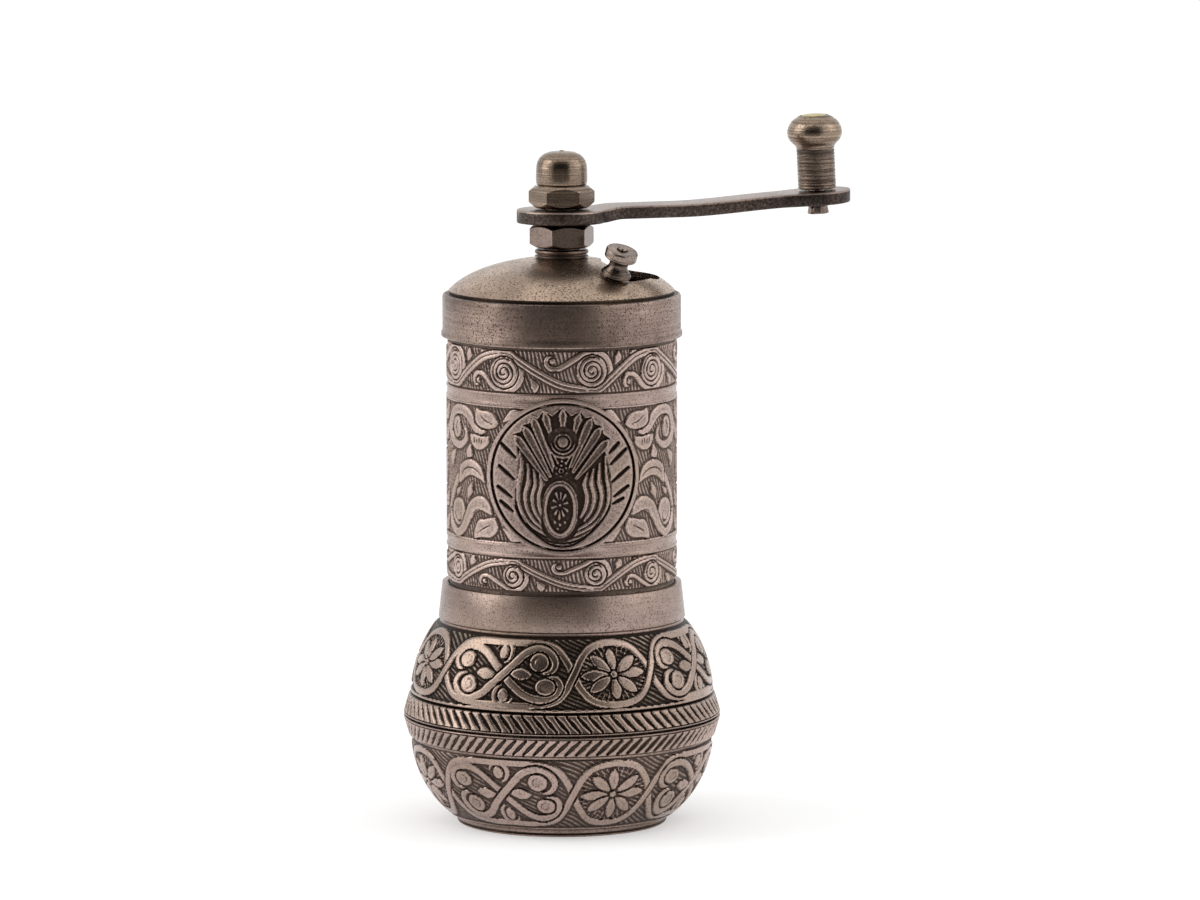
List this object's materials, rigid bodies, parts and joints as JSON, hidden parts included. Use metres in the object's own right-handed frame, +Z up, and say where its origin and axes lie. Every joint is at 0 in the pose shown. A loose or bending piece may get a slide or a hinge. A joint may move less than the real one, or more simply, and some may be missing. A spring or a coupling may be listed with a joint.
{
  "type": "spice mill",
  "caption": "Hand-cranked spice mill: domed cap with sliding fill shutter, ornamented hopper tube, bulb foot with a lift-off catch bowl, conical burr set.",
  "frame": {"origin": "middle of the bowl's flat underside, on the table", "axes": "+Z up along the mill's axis, -Y towards the medallion on the front of the hopper tube, +X to the right seen from the front"},
  "size_m": [0.0682, 0.0482, 0.107],
  "materials": {
    "pewter_cast": "cast zinc alloy plated antique silver, dark patina rubbed off the raised ornament",
    "pewter_plain": "antique silver plate, lightly speckled, satin",
    "bronzed_steel": "turned steel with a warm dark antique plate, worn bright on its edges",
    "knob_brass": "brass worn bright, dull yellow",
    "bright_steel": "plain bright steel",
    "burr_iron": "hardened cast burr metal, grey",
    "cage_zinc": "plain cast zinc alloy, matt"
  },
  "bodies": {
    "bowl": {"lower_bowl": "pewter_cast"},
    "mill_body": {"upper_bell": "pewter_cast", "hopper_tube": "pewter_cast", "cap_dome": "pewter_plain", "neck_bushing": "bronzed_steel", "shutter_washer": "bright_steel", "outer_burr": "burr_iron", "burr_screw_1": "bright_steel", "burr_screw_2": "bright_steel", "burr_screw_3": "bright_steel", "bearing_cage": "cage_zinc"},
    "shutter": {"shutter_plate": "pewter_plain", "shutter_knob": "bronzed_steel", "shutter_rivet": "bright_steel"},
    "crank": {"shaft": "bright_steel", "lower_hex_nut": "bronzed_steel", "crank_arm": "pewter_plain", "acorn_nut": "bronzed_steel", "knob_rivet": "knob_brass", "burr_spring": "bright_steel", "thrust_washer": "bright_steel"},
    "crank_knob": {"crank_knob": "bronzed_steel"},
    "burr": {"inner_burr": "burr_iron"},
    "adjuster": {"adjusting_nut": "knob_brass"}
  },
  "joints": [
    {"name": "mill_lift", "type": "slide", "parent": "bowl", "child": "mill_body", "axis": [0, 0, 1], "range_m": [0, 0.04]},
    {"name": "crank_spin", "type": "hinge", "parent": "mill_body", "child": "crank", "pos_m": [0, 0, 0.0925], "axis": [0, 0, 1], "continuous": true},
    {"name": "knob_spin", "type": "hinge", "parent": "crank", "child": "crank_knob", "pos_m": [0.03904, 0.01268, 0.09515], "axis": [-0.0498, -0.0162, 0.9986], "continuous": true},
    {"name": "shutter_swing", "type": "hinge", "parent": "mill_body", "child": "shutter", "pos_m": [0, 0, 0.0835], "axis": [0, 0, 1], "range_deg": [0, 98]},
    {"name": "burr_feed", "type": "slide", "parent": "crank", "child": "burr", "axis": [0, 0, 1], "range_m": [-0.0007, 0], "deforming": ["burr_spring"]},
    {"name": "adjuster_turn", "type": "hinge", "parent": "burr", "child": "adjuster", "pos_m": [0, 0, 0.0196], "axis": [0, 0, 1], "range_deg": [-360, 0]}
  ],
  "couplings": [
    {"joint": "adjuster_turn", "follows": "burr_feed", "rad_per_m": 8976}
  ]
}
